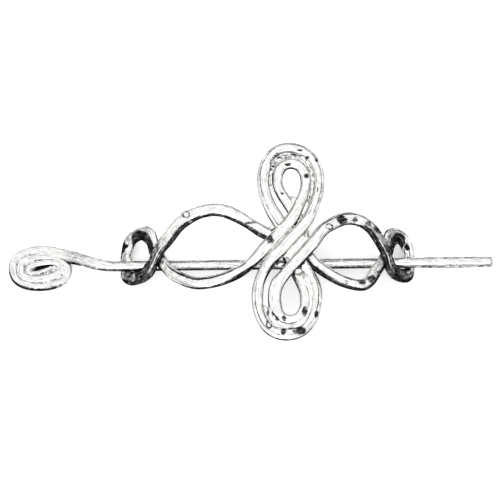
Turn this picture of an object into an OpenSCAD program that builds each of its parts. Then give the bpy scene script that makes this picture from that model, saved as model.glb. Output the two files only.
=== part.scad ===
// Shawl brooch: an arched knot of hammered wire, held on the cloth by a stick pin with a spiral head.
// The brooch lies on its two rings. X runs along the stick, with its spiral head at -X, and Z is up.

/* [Wire of the knot] */
// Width of the wire across its hammered face
wire_w = 2.75; // [2.4:0.05:2.8]
// Thickness of the wire from face to face
wire_t = 1.9; // [1.7:0.1:2]
// Height between the wires that lie over and under each other
wire_step = 1.6; // [1.4:0.05:1.6]

/* [Arch] */
// Rise of the arch from the rings' outer limbs to the middle of the knot
arch_rise = 12.8; // [12.6:0.1:14]
// How late the arch turns down: 2 is a parabola, more keeps the middle flat for longer
arch_power = 3.2; // [3:0.1:3.6]
// Distance from the middle of the knot to the left ring's outer limb
left_span = 42.6; // [42:0.1:43]
// Distance from the middle of the knot to the right ring's outer limb
right_span = 31.4; // [31:0.1:32]

/* [Stick pin] */
// Diameter of the round shank where it lies in the rings
shank_d = 2.4; // [2:0.05:2.4]
// Diameter of the free end, which is a little thicker
free_end_d = 2.6; // [2.4:0.05:2.6]
// Length of the free end, from where it is full size to the rounding of the tip
free_end_l = 15; // [8:0.5:15]
// Distance from the middle of the knot to the tip of the stick
tip_reach = 53; // [48:0.5:60]
// Clearance between the shank and the ring limbs that it lies on
shank_gap = 0.3; // [0.25:0.05:0.4]
// Rounding of the blunt tip
tip_round = 0.9; // [0.5:0.1:1]

/* [Spiral head] */
// Width of the wire in the head, where it is hammered flat
coil_w = 1.85; // [1.6:0.05:1.85]
// Thickness of the hammered head
coil_t = 1.5; // [1.2:0.1:1.8]
// Distance between one turn of the spiral and the next
coil_pitch = 1.98; // [1.96:0.02:2.02]
// Height of the outer turn above the head's middle, to the middle of the wire
coil_reach = 5.65; // [5.6:0.05:5.8]
// Extra reach of every turn along the stick, which makes the head oval
coil_stretch = 2.5; // [2:0.1:2.8]
// Number of turns
coil_turns = 2.7; // [1.7:0.1:2.7]
// Width of the wire at its end in the middle of the spiral, as a share of its full width
coil_taper = 0.5; // [0.45:0.05:0.55]

/* [Hidden] */

SECTION_SIDES = 12;
ROUND_SIDES = 48;
BEAD_SIDES = 16;
BEAD_END = 0.6;          // radius of a solder bead where it meets a wire, as a share of its widest
SQUARENESS = 0.52;       // 1 makes the wire's section an ellipse, less makes its faces flatter
STEP_LENGTH = 2;         // longest stretch of wire between two sections
STEP_TURN = 14;          // most that the wire turns between two sections, in degrees
over = wire_step / 2;
under = -wire_step / 2;

// The knot's wires, seen from above, measured from the middle of the knot. Each row is
// [x, y, heading in degrees, level over or under the middle surface].
// From the left ring's limb, under the ring's crossing, through the lobe's lower wire and over the
// knot to the top of the inner loop
LEFT_TO_TOP = [
    [-left_span, 2.7, 90, 0],
    [-39, 8.2, 0, 0],
    [-34, 0.5, -60, under],
    [-29.5, -6.9, -40, under / 2],
    [-22.3, -10.5, 0, 0],
    [-12.4, -7.6, 34, 0],
    [-5.6, -0.8, 48, over],
    [-0.6, 4.9, 50, over],
    [3.4, 12.3, 68, over / 2],
    [4.6, 17.7, 90, 0],
    [0.8, 22.9, 180, 0]
];
// From the top of the inner loop, under the knot and the right ring's crossing, to that ring's limb
TOP_TO_RIGHT = [
    [0.8, 22.9, 180, 0],
    [-2.8, 17.8, 270, 0],
    [1.4, 7.2, 302, under],
    [6.6, -5.5, 316, under],
    [17.6, -11.3, 360, 0],
    [23, -5.2, 420, under / 2],
    [25.2, -0.5, 425, under],
    [28.7, 6.6, 360, 0],
    [right_span, 2, 270, 0]
];
// From the right ring's limb, over the ring's crossing, through the lobe's upper wire and over the
// knot to the bottom of the inner loop
RIGHT_TO_BOTTOM = [
    [right_span, 2, 270, 0],
    [right_span, -2.2, 270, 0],
    [28, -5.4, 180, 0],
    [25.4, -1.1, 113, over],
    [22, 4.9, 128, over / 2],
    [16.5, 7.6, 180, 0],
    [10, 4.6, 213, over / 2],
    [5.7, -0.9, 230, over],
    [-1.3, -9.2, 233, over],
    [-3.6, -15.2, 270, 0],
    [0, -22.4, 360, 0]
];
// From the bottom of the inner loop, under the knot, through the lobe's upper wire and over the left
// ring's crossing to its limb
BOTTOM_TO_LEFT = [
    [0, -22.4, 0, 0],
    [4, -16.1, 90, 0],
    [2.1, -8.6, 113, under],
    [-5.6, 3.1, 150, under],
    [-20, 10.4, 180, 0],
    [-30.5, 5.1, 235, over / 2],
    [-33.8, 0.5, 240, over],
    [-38.6, -5.3, 180, 0],
    [-left_span, -2, 90, 0],
    [-left_span, 2.7, 90, 0]
];
// The outer loops' wire, from the top, under the knot, to the bottom
OUTER_DOWN = [
    [0.1, 27.1, 180, 0],
    [-6.8, 18.2, 270, 0],
    [-2.6, 6.4, 302, under],
    [5.6, -9.5, 298, under],
    [6.9, -15, 270, 0],
    [-0.9, -26, 180, 0]
];
// The outer loops' wire, from the bottom, over the knot, to the top
OUTER_UP = [
    [-0.9, -26, 180, 0],
    [-8.2, -15.1, 90, 0],
    [-5.1, -5.7, 56, over],
    [0.9, 1.4, 48, over],
    [3.8, 4.8, 53, over],
    [7.3, 12.8, 73, over / 2],
    [8, 18.3, 90, 0],
    [0.1, 27.1, 180, 0]
];
// Where the crossed wires are fused together, with the solder standing a little proud:
// [x, y, radius]
FUSED = [
    [1.2, 7.4, 1.4], [-1.3, 4, 1.4], [-4.1, 0.9, 1.4],
    [2.9, 3.6, 1.4], [0.4, 0.7, 1.4], [-2.1, -2.2, 1.4],
    [5, -1.6, 1.4], [2.8, -4.3, 1.4], [0.8, -6.7, 1.4],
    [-4.3, 4.3, 0.9], [-33.8, 0.5, 1.5], [25.3, -0.8, 1.5]
];

function signed_power(v, power) = sign(v) * pow(abs(v), power);
function section_point(k, width, thickness) =
    let (a = (k + 0.5) * 360 / SECTION_SIDES)
    [width / 2 * signed_power(cos(a), SQUARENESS), thickness / 2 * signed_power(sin(a), SQUARENESS)];

// Half of the height that a ring's tilted limb takes up, so that it just meets the surface
function limb_half_height(span) =
    let (tilt = atan(arch_rise * arch_power / span))
    max([for (k = [0 : SECTION_SIDES - 1])
        let (q = section_point(k, wire_w, wire_t)) q[0] * sin(tilt) + q[1] * cos(tilt)]);
left_limb_z = limb_half_height(left_span);
right_limb_z = limb_half_height(right_span);
knot_z = left_limb_z + arch_rise;

// Height of the body's middle surface, and its slope
function arch_span(x) = x < 0 ? left_span : right_span;
function arch_drop(x) = knot_z - (x < 0 ? left_limb_z : right_limb_z);
function arch_z(x) = knot_z - arch_drop(x) * pow(abs(x) / arch_span(x), arch_power);
function arch_slope(x) =
    -sign(x) * arch_drop(x) * arch_power / arch_span(x) * pow(abs(x) / arch_span(x), arch_power - 1);

function unit(v) = v / norm(v);
function wrap(a) = a - 360 * round(a / 360);
function lowest(list, axis) = min([for (p = list) p[axis]]);
function highest(list, axis) = max([for (p = list) p[axis]]);

// How far a smooth curve's handle reaches, as a share of the chord, when the curve leaves the chord
// at angle a and meets it at angle b: for equal angles this gives very nearly a round arc
function handle(a, b) =
    (2 + sqrt(2) * (sin(a) - sin(b) / 16) * (sin(b) - sin(a) / 16) * (cos(a) - cos(b)))
    / (3 * (1 + (sqrt(5) - 1) / 2 * cos(a) + (3 - sqrt(5)) / 2 * cos(b)));

function bezier(p, t) =
    pow(1 - t, 3) * p[0] + 3 * pow(1 - t, 2) * t * p[1] + 3 * (1 - t) * t * t * p[2] + pow(t, 3) * p[3];
function ease(t) = t * t * (3 - 2 * t);

// The curve between two rows of a table, as four control points in plan
function span_curve(from, to) =
    let (a = [from[0], from[1]],
         b = [to[0], to[1]],
         chord = norm(b - a),
         direction = atan2(b[1] - a[1], b[0] - a[0]),
         leave = wrap(from[2] - direction),
         meet = wrap(direction - to[2]))
    [
        a,
        a + handle(leave, -meet) * chord * [cos(from[2]), sin(from[2])],
        b - handle(-meet, leave) * chord * [cos(to[2]), sin(to[2])],
        b
    ];
function span_steps(from, to) =
    let (length = norm([to[0] - from[0], to[1] - from[1]]))
    max(1, ceil(length / STEP_LENGTH), ceil(abs(wrap(to[2] - from[2])) / STEP_TURN));

// Points [x, y, z] along a table, on the arch's middle surface plus the level
function route(table) = [
    for (i = [0 : len(table) - 2])
        let (curve = span_curve(table[i], table[i + 1]),
             steps = span_steps(table[i], table[i + 1]))
        for (k = [0 : steps - (i == len(table) - 2 ? 0 : 1)])
            let (t = k / steps,
                 p = bezier(curve, t),
                 level = table[i][3] + (table[i + 1][3] - table[i][3]) * ease(t))
            [p[0], p[1], arch_z(p[0]) + level]
];
function arch_normal(p) = unit([-arch_slope(p[0]), 0, 1]);

// Direction of a run of points at point i, with the given direction at each end
function heading_at(points, i, first, last) =
    i == 0 ? unit(first) : i == len(points) - 1 ? unit(last) : unit(points[i + 1] - points[i - 1]);

// One section of wire at p, as wide as the hammered face and as thick along the face's normal
function wire_ring(p, along, up, width, thickness) =
    let (side = unit(cross(along, up)),
         face = cross(side, along))
    [for (k = [0 : SECTION_SIDES - 1])
        let (q = section_point(k, width, thickness))
        p + q[0] * side + q[1] * face];

// A closed solid through rings of points. Each end is a fan of triangles round its middle, so that
// two wires that meet end to end share the same triangles there.
function middle(ring) = [for (axis = [0 : 2]) (lowest(ring, axis) + highest(ring, axis)) / 2];
module skin(rings) {
    sides = len(rings[0]);
    last = (len(rings) - 1) * sides;
    first_middle = last + sides;
    walls = [
        for (i = [0 : len(rings) - 2], k = [0 : sides - 1])
            let (a = i * sides + k, b = i * sides + (k + 1) % sides)
            each [[a, b, b + sides], [a, b + sides, a + sides]]
    ];
    caps = [
        for (k = [0 : sides - 1])
            let (next = (k + 1) % sides)
            each [[first_middle, next, k], [first_middle + 1, last + k, last + next]]
    ];
    points = concat([for (ring = rings) each ring], [middle(rings[0]), middle(rings[len(rings) - 1])]);
    polyhedron(points = points, faces = concat(walls, caps), convexity = 6);
}

function plan_direction(row, p) =
    [cos(row[2]), sin(row[2]), arch_slope(p[0]) * cos(row[2])];
function strand_rings(table) =
    let (points = route(table),
         first = plan_direction(table[0], points[0]),
         last = plan_direction(table[len(table) - 1], points[len(points) - 1]))
    [for (i = [0 : len(points) - 1])
        wire_ring(points[i], heading_at(points, i, first, last), arch_normal(points[i]),
                  wire_w, wire_t)];

strands = [for (table = [LEFT_TO_TOP, TOP_TO_RIGHT, RIGHT_TO_BOTTOM, BOTTOM_TO_LEFT,
                         OUTER_DOWN, OUTER_UP]) strand_rings(table)];
body_points = [for (strand = strands) each [for (ring = strand) each ring]];
ground = lowest(body_points, 2);

// The stick lies over both limbs, a little to the front of the body's middle line
stick_y = -1.5;
limb_top = 2 * max(left_limb_z, right_limb_z);
shank_r = shank_d / 2;
free_end_r = free_end_d / 2;
shank_z = limb_top + shank_gap + shank_r;
shank_start = -left_span - 2.9;
FLARE_LENGTH = 3;
tip_start = tip_reach - tip_round;
free_end_start = tip_start - free_end_l;
// The spiral head lies flat on the surface, past the shank's start
head_x = -64.3;
head_y = -0.6;
HEAD_START = 65;         // angle round the head's middle at which the neck runs into the outer turn
COIL_STEP = 15;
NECK_STEPS = 10;
NECK_DROOP = 1.6;        // above 1, the neck stays level for longer before it drops to the surface
TAPERED_TURNS = 1;       // the last part of the spiral, over which the wire narrows to its end

// One point of the spiral. Its turns are round at both ends of the oval, and flatter between them.
function coil_point(turned) =
    let (a = HEAD_START + turned,
         r = coil_reach - coil_pitch * turned / 360,
         stretch = coil_stretch * cos(a) * (3 - cos(a) * cos(a)) / 2)
    [head_x + stretch + r * cos(a), head_y + r * sin(a), ground + coil_t / 2];
coil_start = coil_point(0);
coil_run = coil_point(1) - coil_point(0);
coil_heading = atan2(coil_run[1], coil_run[0]);
neck_curve = span_curve([shank_start, stick_y, 180], [coil_start[0], coil_start[1], coil_heading]);
head_points = concat(
    [for (k = [0 : NECK_STEPS - 1])
        let (t = k / NECK_STEPS, p = bezier(neck_curve, t))
        [p[0], p[1], shank_z + (ground + coil_t / 2 - shank_z) * ease(pow(t, NECK_DROOP))]],
    [for (turned = [0 : COIL_STEP : coil_turns * 360]) coil_point(turned)]
);
// The neck starts as a round wire a touch wider than the shank, and ends as flat as the coil
NECK_COLLAR = 0.06;
function head_ring(i) =
    let (t = min(1, i / NECK_STEPS),
         start_w = (shank_d + NECK_COLLAR) / cos(90 / SECTION_SIDES),
         last = len(head_points) - 1,
         left = (last - i) * COIL_STEP / 360 / TAPERED_TURNS,
         taper = coil_taper + (1 - coil_taper) * min(1, left),
         width = (start_w + (coil_w - start_w) * t) * taper,
         thickness = start_w + (coil_t - start_w) * t)
    wire_ring(head_points[i],
              heading_at(head_points, i, [-1, 0, 0], head_points[last] - head_points[last - 1]),
              [0, 0, 1], width, thickness);
head_rings = [for (i = [0 : len(head_points) - 1]) head_ring(i)];
head_extent = [for (ring = head_rings) each ring];

// The origin is under the middle of the whole brooch's box, on the surface that it lies on
origin_x = (lowest(head_extent, 0) + tip_reach) / 2;
origin_y = (lowest(body_points, 1) + highest(body_points, 1)) / 2;
module placed() { translate([-origin_x, -origin_y, -ground]) children(); }

// A bead of solder between two crossed wires, widest halfway between them
module fused_crossing(x, y, radius) {
    translate([x, y, arch_z(x)])
    rotate([0, -atan(arch_slope(x)), 0])
    hull() {
        cylinder(r = radius * BEAD_END, h = wire_step, center = true, $fn = BEAD_SIDES);
        cylinder(r = radius, h = wire_step / 4, center = true, $fn = BEAD_SIDES);
    }
}

module knot_body() {
    color("silver")
    placed()
    union() {
        for (strand = strands) skin(strand);
        for (f = FUSED) fused_crossing(f[0], f[1], f[2]);
    }
}

// The blunt tip, whose outline is turned round the stick's axis
module tip() {
    rotate_extrude($fn = ROUND_SIDES)
    polygon(concat(
        [[0, 0]],
        [for (a = [0 : 15 : 90])
            [free_end_r - tip_round + tip_round * cos(a), tip_round * sin(a)]],
        [[0, tip_round]]
    ));
}

module stick_pin() {
    color("gainsboro")
    placed()
    union() {
        skin(head_rings);
        translate([0, stick_y, shank_z])
        rotate([0, 90, 0]) {
            translate([0, 0, shank_start])
            cylinder(r = shank_r, h = free_end_start - FLARE_LENGTH - shank_start, $fn = ROUND_SIDES);
            translate([0, 0, free_end_start - FLARE_LENGTH])
            cylinder(r1 = shank_r, r2 = free_end_r, h = FLARE_LENGTH, $fn = ROUND_SIDES);
            translate([0, 0, free_end_start])
            cylinder(r = free_end_r, h = free_end_l, $fn = ROUND_SIDES);
            translate([0, 0, tip_start])
            tip();
        }
    }
}

knot_body();
stick_pin();
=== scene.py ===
# %% [markdown]
# # A hammered silver shawl brooch
# The brooch is two pieces of metal. One is an arched knot of flattened wire with a ring at each end.
# The other is a straight stick with a flat spiral head, which runs through both rings and pins the
# cloth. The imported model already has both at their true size, so it is loaded first as a fixed frame,
# and every mesh below is made around it, in metres, in the same place.

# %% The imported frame
import math
import random

import bmesh
import bpy
import numpy as np
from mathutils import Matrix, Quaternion, Vector
from mathutils.noise import noise


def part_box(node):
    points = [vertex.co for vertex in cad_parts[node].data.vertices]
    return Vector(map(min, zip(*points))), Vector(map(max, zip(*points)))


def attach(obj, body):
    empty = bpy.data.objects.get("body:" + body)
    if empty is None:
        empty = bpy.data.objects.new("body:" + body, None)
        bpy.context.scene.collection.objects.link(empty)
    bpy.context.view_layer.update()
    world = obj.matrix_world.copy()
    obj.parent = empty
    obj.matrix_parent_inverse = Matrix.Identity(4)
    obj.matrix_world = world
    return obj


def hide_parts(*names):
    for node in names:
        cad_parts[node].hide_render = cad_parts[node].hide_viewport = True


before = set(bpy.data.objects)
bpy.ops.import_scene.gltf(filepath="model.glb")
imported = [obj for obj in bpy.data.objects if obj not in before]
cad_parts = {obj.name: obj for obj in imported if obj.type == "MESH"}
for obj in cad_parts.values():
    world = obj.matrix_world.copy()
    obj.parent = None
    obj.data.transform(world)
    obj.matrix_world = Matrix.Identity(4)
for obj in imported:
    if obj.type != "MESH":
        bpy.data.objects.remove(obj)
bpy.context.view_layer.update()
MM = 0.001
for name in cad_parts:
    lo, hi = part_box(name)
    print(name, "is", [round((b - a) / MM, 1) for a, b in zip(lo, hi)], "mm")

# %% [markdown]
# ## The paths of the wires
# The maker lays the knot out flat and bends it over a former afterwards. The same order is used here:
# each wire is a run of stations in plan, measured from the middle of the knot, and the arch lifts
# them. Nearly all the stations are the ones that the frame's own solids follow. A few were moved by
# up to a millimetre to match the photograph.
# A station is [x, y, heading in degrees, level]. The level says whether the wire lies over or under
# the others there.

# %% Stations of the knot's wires, in millimetres
OVER, UNDER = 0.8, -0.8
LEFT_SPAN, RIGHT_SPAN = 42.6, 31.4
LEFT_TO_TOP = [
    [-LEFT_SPAN, 2.7, 90, 0], [-39, 7.8, 0, 0], [-34, 0.5, -60, UNDER], [-29.5, -6.9, -40, UNDER / 2],
    [-22.3, -10.5, 0, 0], [-12.4, -7.6, 34, 0], [-5.6, -0.8, 48, OVER], [-0.6, 4.9, 50, OVER],
    [3.4, 12.3, 68, OVER / 2], [4.6, 17.7, 90, 0], [0.8, 22.9, 180, 0]]
TOP_TO_RIGHT = [
    [0.8, 22.9, 180, 0], [-2.85, 17.9, 270, 0], [-0.9, 12.9, 301, UNDER / 2], [2.1, 8.1, 300, UNDER],
    [6.6, -5.5, 316, UNDER], [17.6, -11.3, 360, 0], [23, -5.2, 420, UNDER / 2],
    [25.2, -0.5, 425, UNDER], [28.7, 6.2, 360, 0], [RIGHT_SPAN, 2, 270, 0]]
RIGHT_TO_BOTTOM = [
    [RIGHT_SPAN, 2, 270, 0], [RIGHT_SPAN, -2.2, 270, 0], [28, -5.0, 180, 0], [25.4, -1.1, 113, OVER],
    [22, 4.9, 128, OVER / 2], [16.5, 7.6, 180, 0], [10, 4.6, 213, OVER / 2], [5.7, -0.9, 230, OVER],
    [-1.3, -9.2, 233, OVER], [-3.6, -15.2, 270, 0], [0, -21.7, 360, 0]]
BOTTOM_TO_LEFT = [
    [0, -21.7, 0, 0], [4, -16.1, 90, 0], [2.1, -8.6, 113, UNDER], [-5.6, 3.1, 150, UNDER],
    [-20, 10.4, 180, 0], [-30.5, 5.1, 235, OVER / 2], [-33.8, 0.5, 240, OVER], [-38.6, -4.7, 180, 0.15],
    [-LEFT_SPAN, -2, 90, 0], [-LEFT_SPAN, 2.7, 90, 0]]
OUTER_DOWN = [
    [0.3, 27.6, 180, 0], [-6.8, 18.2, 270, 0], [-2.6, 6.4, 302, UNDER], [5.6, -9.5, 298, UNDER],
    [6.9, -15, 270, 0], [-0.9, -26, 180, 0]]
OUTER_UP = [
    [-0.9, -26, 180, 0], [-8.5, -15.1, 90, 0], [-5.1, -5.7, 56, OVER], [0.9, 1.4, 48, OVER],
    [3.8, 4.8, 53, OVER], [7.4, 12.8, 73, OVER / 2], [8.2, 18.3, 90, 0], [0.3, 27.6, 180, 0]]

# %% [markdown]
# ## Where the silver is dark, and where shade is painted
# Such a brooch is dipped in a solution that blackens it all over, and then only what a polishing wheel
# reaches is made bright again: the hammered faces. The dark on the walls between the wires, on the
# undersides and on the small steep rings is that black, and painted shade and painted dark reflection as
# well. So is the thin black line where the face meets the bevel, and a ridge that is bright in the dark is
# a painted highlight. All of it is written down along each wire.
# There is a row for each station above. Its first two numbers say how high the dark reaches on the
# left wall and on the right wall, in millimetres from the wire's middle. The third says how dark the
# face is. Then come the painted lines on the left and on the right ridge: painted shade above 0, and a
# painted highlight below.
# The last is the side with the wide bevel: 1 is the right, -1 is the left, and 0 is neither.

# %% Dark of the walls, faces and ridges
LEFT_TO_TOP_DARK = [
    [0.80, -1.0, 0.42, 0.9, 0, 0], [0.20, 1.20, 0.36, 0, 0, 0], [0.30, 1.20, 0.20, 0, 0, 0],
    [0.20, 0.50, 0.10, 1.1, 0, 0], [0.10, 0.60, 0, 1.1, 0, 0], [0.20, 0.93, 0, 0.8, 0.3, 0],
    [0.45, 0.35, 0, 0.3, 0.3, 0], [0.45, 0.35, 0, 0.4, 0.4, 0], [0.40, 0.35, 0, 0.3, 0.5, 0],
    [0.50, 0.40, 0, 0, 0.3, 0], [0.50, 0.35, 0, 0, 0.3, 0]]
TOP_TO_RIGHT_DARK = [
    [0.50, 0.35, 0, 0, 0.3, 0], [0.50, 0.70, 0, 0, 0.3, 0], [0.50, 0.60, 0.12, 0.1, 0.3, 0],
    [0.50, 0.50, 0, 0.3, 0.3, 0], [0.45, 0.95, 0, 0.5, 0.4, 0], [0.30, 0.78, 0, 0.9, 0.3, 0.2],
    [0.20, 0.94, 0.25, 0.3, 0.3, 0.8], [0.30, 1.20, 0.65, 0, 0, 1], [0.25, 1.20, 0.42, 0.3, 0, 0],
    [0.88, -1.0, 0.18, 0.9, 0.6, 0]]
RIGHT_TO_BOTTOM_DARK = [
    [0.88, -1.0, 0.18, 0.9, 0.6, 0], [0.85, 0.90, 0.60, 0.8, 0, 0], [0.95, 0.90, 0.80, 0, 0, 0],
    [0.92, 0.60, 0.78, -0.9, 0, -0.4], [0.92, 0.40, 0.45, 0.3, 0.4, 0], [0.50, 0.50, 0.05, 0.2, 0.9, 0],
    [0.50, 0.50, 0, 0.2, 0.9, 0], [0.50, 0.45, 0, 0.3, 0.5, 0], [0.50, 0.50, 0, 0.3, 0.5, 0],
    [0.45, 0.60, 0, 0.2, 0.3, 0], [0.45, 0.70, 0, 0.2, 0.2, 0]]
BOTTOM_TO_LEFT_DARK = [
    [0.45, 0.70, 0, 0.2, 0.2, 0], [0.45, 0.50, 0, 0.2, 0.4, 0], [0.50, 0.50, 0, 0.4, 0.4, 0],
    [0.90, 0.50, 0, 0.4, 0.4, 0], [0.72, 0.20, 0, 0.2, 0.5, 0], [0.88, 0.40, 0.15, 0.2, 0.3, 0],
    [0.60, 0.60, 0.74, -0.9, 0, -0.6], [0.95, 0.95, 0.83, 0, 0, 0], [0.80, 0.30, 0.48, 0.3, 0, 0],
    [0.80, -1.0, 0.42, 0.9, 0, 0]]
OUTER_DOWN_DARK = [
    [0.35, 0.15, 0, 0.5, 0.7, 1], [0.50, 0.30, 0, 0.3, 0.8, 1], [0.40, 0.40, 0, 0.4, 0.6, 0.5],
    [0.40, 0.40, 0, 0.5, 0.4, -0.5], [0.30, 0.35, 0, 0.8, 0.3, -1], [0.40, 0.30, 0, 0.7, 0.2, -1]]
OUTER_UP_DARK = [
    [0.40, 0.30, 0, 0.7, 0.2, -1], [0.35, 0.50, 0, 0.8, 0.3, -1], [0.40, 0.80, 0, 0.5, 0.4, -0.5],
    [0.35, -0.30, 0, 0.5, 0.2, 0], [0.35, -0.20, 0, 0.5, 0.3, 0], [0.45, 0.40, 0, 0.3, 0.8, 0.5],
    [0.40, 0.30, 0, 0.4, 0.8, 1], [0.35, 0.15, 0, 0.5, 0.7, 1]]
MAIN_WIRE = [(LEFT_TO_TOP, LEFT_TO_TOP_DARK), (TOP_TO_RIGHT, TOP_TO_RIGHT_DARK),
             (RIGHT_TO_BOTTOM, RIGHT_TO_BOTTOM_DARK), (BOTTOM_TO_LEFT, BOTTOM_TO_LEFT_DARK)]
OUTER_WIRE = [(OUTER_DOWN, OUTER_DOWN_DARK), (OUTER_UP, OUTER_UP_DARK)]
for table, dark in MAIN_WIRE + OUTER_WIRE:
    print(len(table), "stations and", len(dark), "rows of dark")

# %% [markdown]
# ## Pits and flecks
# Small shallow hollows are pressed into the faces, and each is coloured black, some only round the
# rim. In the dark rings a few small spots are bright instead. A noise texture would scatter such spots
# evenly. On the real brooch they sit in a few places and are easy to recognise, so each one is given
# its own place, size and shape.

# %% Pits: x, y, half width and half height in plan, and how dark
PIT_DEPTH = 0.07         # millimetres
PIT_DARK = 1.15          # over 1, so that a pit stays black where the wear of the material is strongest
# Below 0: only the rim of the pit is dark, and its middle stays bright.
PITS = [
    [3.2, 26.4, 1.0, 0.4, 0.75], [5.0, 24.3, 0.7, 0.45, 0.8], [7.5, 23.6, 0.6, 0.7, 0.8],
    [4.8, 18.9, 0.75, 0.8, 0.85], [0.1, 22.2, 1.0, 0.5, 0.85], [-4.5, 21.3, 0.4, 0.5, 0.85],
    [7.6, 14.7, 0.5, 0.9, 0.6], [-5.4, -23.2, 0.9, 1.4, -1], [-1.6, -21.7, 0.7, 1.0, 0.85],
    [3.8, -19.7, 0.9, 1.7, 0.7], [6.8, -20.6, 0.8, 1.3, 0.85], [-1.8, -25.4, 0.9, 1.0, 0.8],
    [0.3, -24.6, 1.1, 0.8, 0.7], [2.6, -25.0, 1.6, 1.3, 0.85], [-26.3, 9.3, 1.1, 0.9, -0.85],
    [-9.9, 6.0, 1.8, 0.4, 0.75], [13.6, 6.5, 1.5, 1.3, 0.85], [16.9, 6.8, 0.9, 1.2, 0.65],
    [20.3, 6.3, 1.0, 1.2, 0.65], [22.9, 5.2, 1.4, 1.4, 0.8], [10.3, 4.3, 1.1, 0.9, -0.95],
    [18.5, -10.5, 1.1, 1.2, 0.65], [21.1, -9.2, 1.4, 1.4, 0.7], [14.5, -11.2, 0.7, 0.7, 0.6],
    [-4.9, 0.6, 1.1, 1.5, 0.75], [22.6, -6.6, 0.5, 0.5, 0.8], [2.0, 5.6, 0.6, 0.7, 0.9],
    [3.0, 6.8, 0.6, 0.6, 0.85], [1.2, 4.1, 0.5, 0.6, 0.6], [-42.3, 5.5, 0.9, 1.1, 1.0],
    [-42.9, 4.3, 0.8, 1.1, 1.1], [-43.3, 2.0, 0.4, 0.5, 0.9], [30.3, 3.6, 0.8, 1.2, 1.1],
    [30.5, 0.8, 0.5, 0.35, 1.0], [-3.9, 21.9, 0.4, 0.45, 0.85], [-3.3, 22.6, 0.4, 0.35, 0.7],
    [-4.3, 23.7, 0.35, 0.4, 0.7], [-3.8, 24.3, 0.35, 0.4, 0.75], [-3.3, 24.9, 0.35, 0.4, 0.75],
    [-2.8, 25.6, 0.35, 0.4, 0.7], [-2.2, 24.5, 0.7, 0.3, 0.85], [-0.6, 25.1, 0.8, 0.35, 0.85],
    [1.4, 25.4, 0.9, 0.35, 0.7], [3.2, 25.0, 0.6, 0.35, 0.7], [-5.6, -19.6, 0.4, 1.3, 0.7],
    [-4.4, -20.2, 0.45, 0.8, 0.85], [-3.4, -21.6, 0.5, 0.8, 0.9], [1.1, -25.4, 0.6, 0.6, 0.75],
    [-1.6, 14.2, 0.5, 0.4, 0.75], [0.2, 13.0, 0.4, 0.5, 0.65]]

# %% Bright flecks in the dark rings: x, y, half width, half height in plan
FLECKS = [[-41.6, 6.2, 0.5, 0.55], [30.6, 5.6, 0.4, 0.6], [-40.0, -4.7, 0.45, 0.9]]
print(len(PITS), "pits and", len(FLECKS), "flecks")

# %% [markdown]
# ## The arch
# Seen from the side the knot is flat in the middle and turns down steeply at the rings. A power of
# the distance from the middle does that: 2 would be a parabola, and 3.2 stays level for longer.

# %% Height of the arch
WIRE_W, WIRE_T = 2.75, 1.9
ARCH_RISE, ARCH_POWER = 12.8, 3.2
SQUARENESS, CAD_SIDES = 0.52, 12         # the section of the frame's own wire


def signed_power(v, power):
    return np.sign(v) * np.abs(v) ** power


def limb_half_height(span):
    """Half of the height that a ring's tilted limb takes up, so that the limb just meets the floor."""
    tilt = math.atan(ARCH_RISE * ARCH_POWER / span)
    angle = (np.arange(CAD_SIDES) + 0.5) * 2 * math.pi / CAD_SIDES
    across = WIRE_W / 2 * signed_power(np.cos(angle), SQUARENESS)
    height = WIRE_T / 2 * signed_power(np.sin(angle), SQUARENESS)
    return float((across * math.sin(tilt) + height * math.cos(tilt)).max())


LEFT_LIMB_Z, RIGHT_LIMB_Z = limb_half_height(LEFT_SPAN), limb_half_height(RIGHT_SPAN)
KNOT_Z = LEFT_LIMB_Z + ARCH_RISE


def arch(x):
    """Height and slope of the arch's middle surface at x."""
    x = np.asarray(x, float)
    span = np.where(x < 0, LEFT_SPAN, RIGHT_SPAN)
    fall = KNOT_Z - np.where(x < 0, LEFT_LIMB_Z, RIGHT_LIMB_Z)
    share = np.abs(x) / span
    height = KNOT_Z - fall * share ** ARCH_POWER
    slope = -np.sign(x) * fall * ARCH_POWER / span * share ** (ARCH_POWER - 1)
    return height, slope


print("middle of the knot", round(KNOT_Z, 2), "mm up, steepest slope",
      round(math.degrees(math.atan(float(arch(RIGHT_SPAN)[1])))), "degrees")

# %% [markdown]
# ## From stations to a smooth path
# Wire bends in even curves, with no flats and no kinks. Between two stations one cubic curve leaves
# and arrives along the given headings, and the length of its handles comes from the two turning
# angles, which gives very nearly a round arc. The path is then divided again at equal distances,
# because the hammer marks and the mesh both count along the wire.

# %% Curves through the stations
def handle(a, b):
    """How far a handle reaches, as a share of the chord, leaving at angle a and arriving at angle b.

    The constants are the usual ones of type design, and make the curve very nearly a round arc."""
    rise = math.sqrt(2) * (math.sin(a) - math.sin(b) / 16) * (math.sin(b) - math.sin(a) / 16)
    return (2 + rise * (math.cos(a) - math.cos(b))) / (
        3 * (1 + (math.sqrt(5) - 1) / 2 * math.cos(a) + (3 - math.sqrt(5)) / 2 * math.cos(b)))


def ease(t):
    return t * t * (3 - 2 * t)


def wrap(angle):
    return (angle + math.pi) % (2 * math.pi) - math.pi


def plan_span(start, end, t):
    """Points of the curve between two stations, at the shares t of its parameter."""
    a, b = np.array(start[:2], float), np.array(end[:2], float)
    leave_at, meet_at = math.radians(start[2]), math.radians(end[2])
    chord, direction = np.linalg.norm(b - a), math.atan2(b[1] - a[1], b[0] - a[0])
    leave, meet = wrap(leave_at - direction), wrap(direction - meet_at)
    c = a + handle(leave, -meet) * chord * np.array([math.cos(leave_at), math.sin(leave_at)])
    d = b - handle(-meet, leave) * chord * np.array([math.cos(meet_at), math.sin(meet_at)])
    t = t[:, None]
    return (1 - t) ** 3 * a + 3 * (1 - t) ** 2 * t * c + 3 * (1 - t) * t * t * d + t ** 3 * b


FINE = 60          # points between two stations before the path is divided evenly
STEP = 0.3


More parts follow.
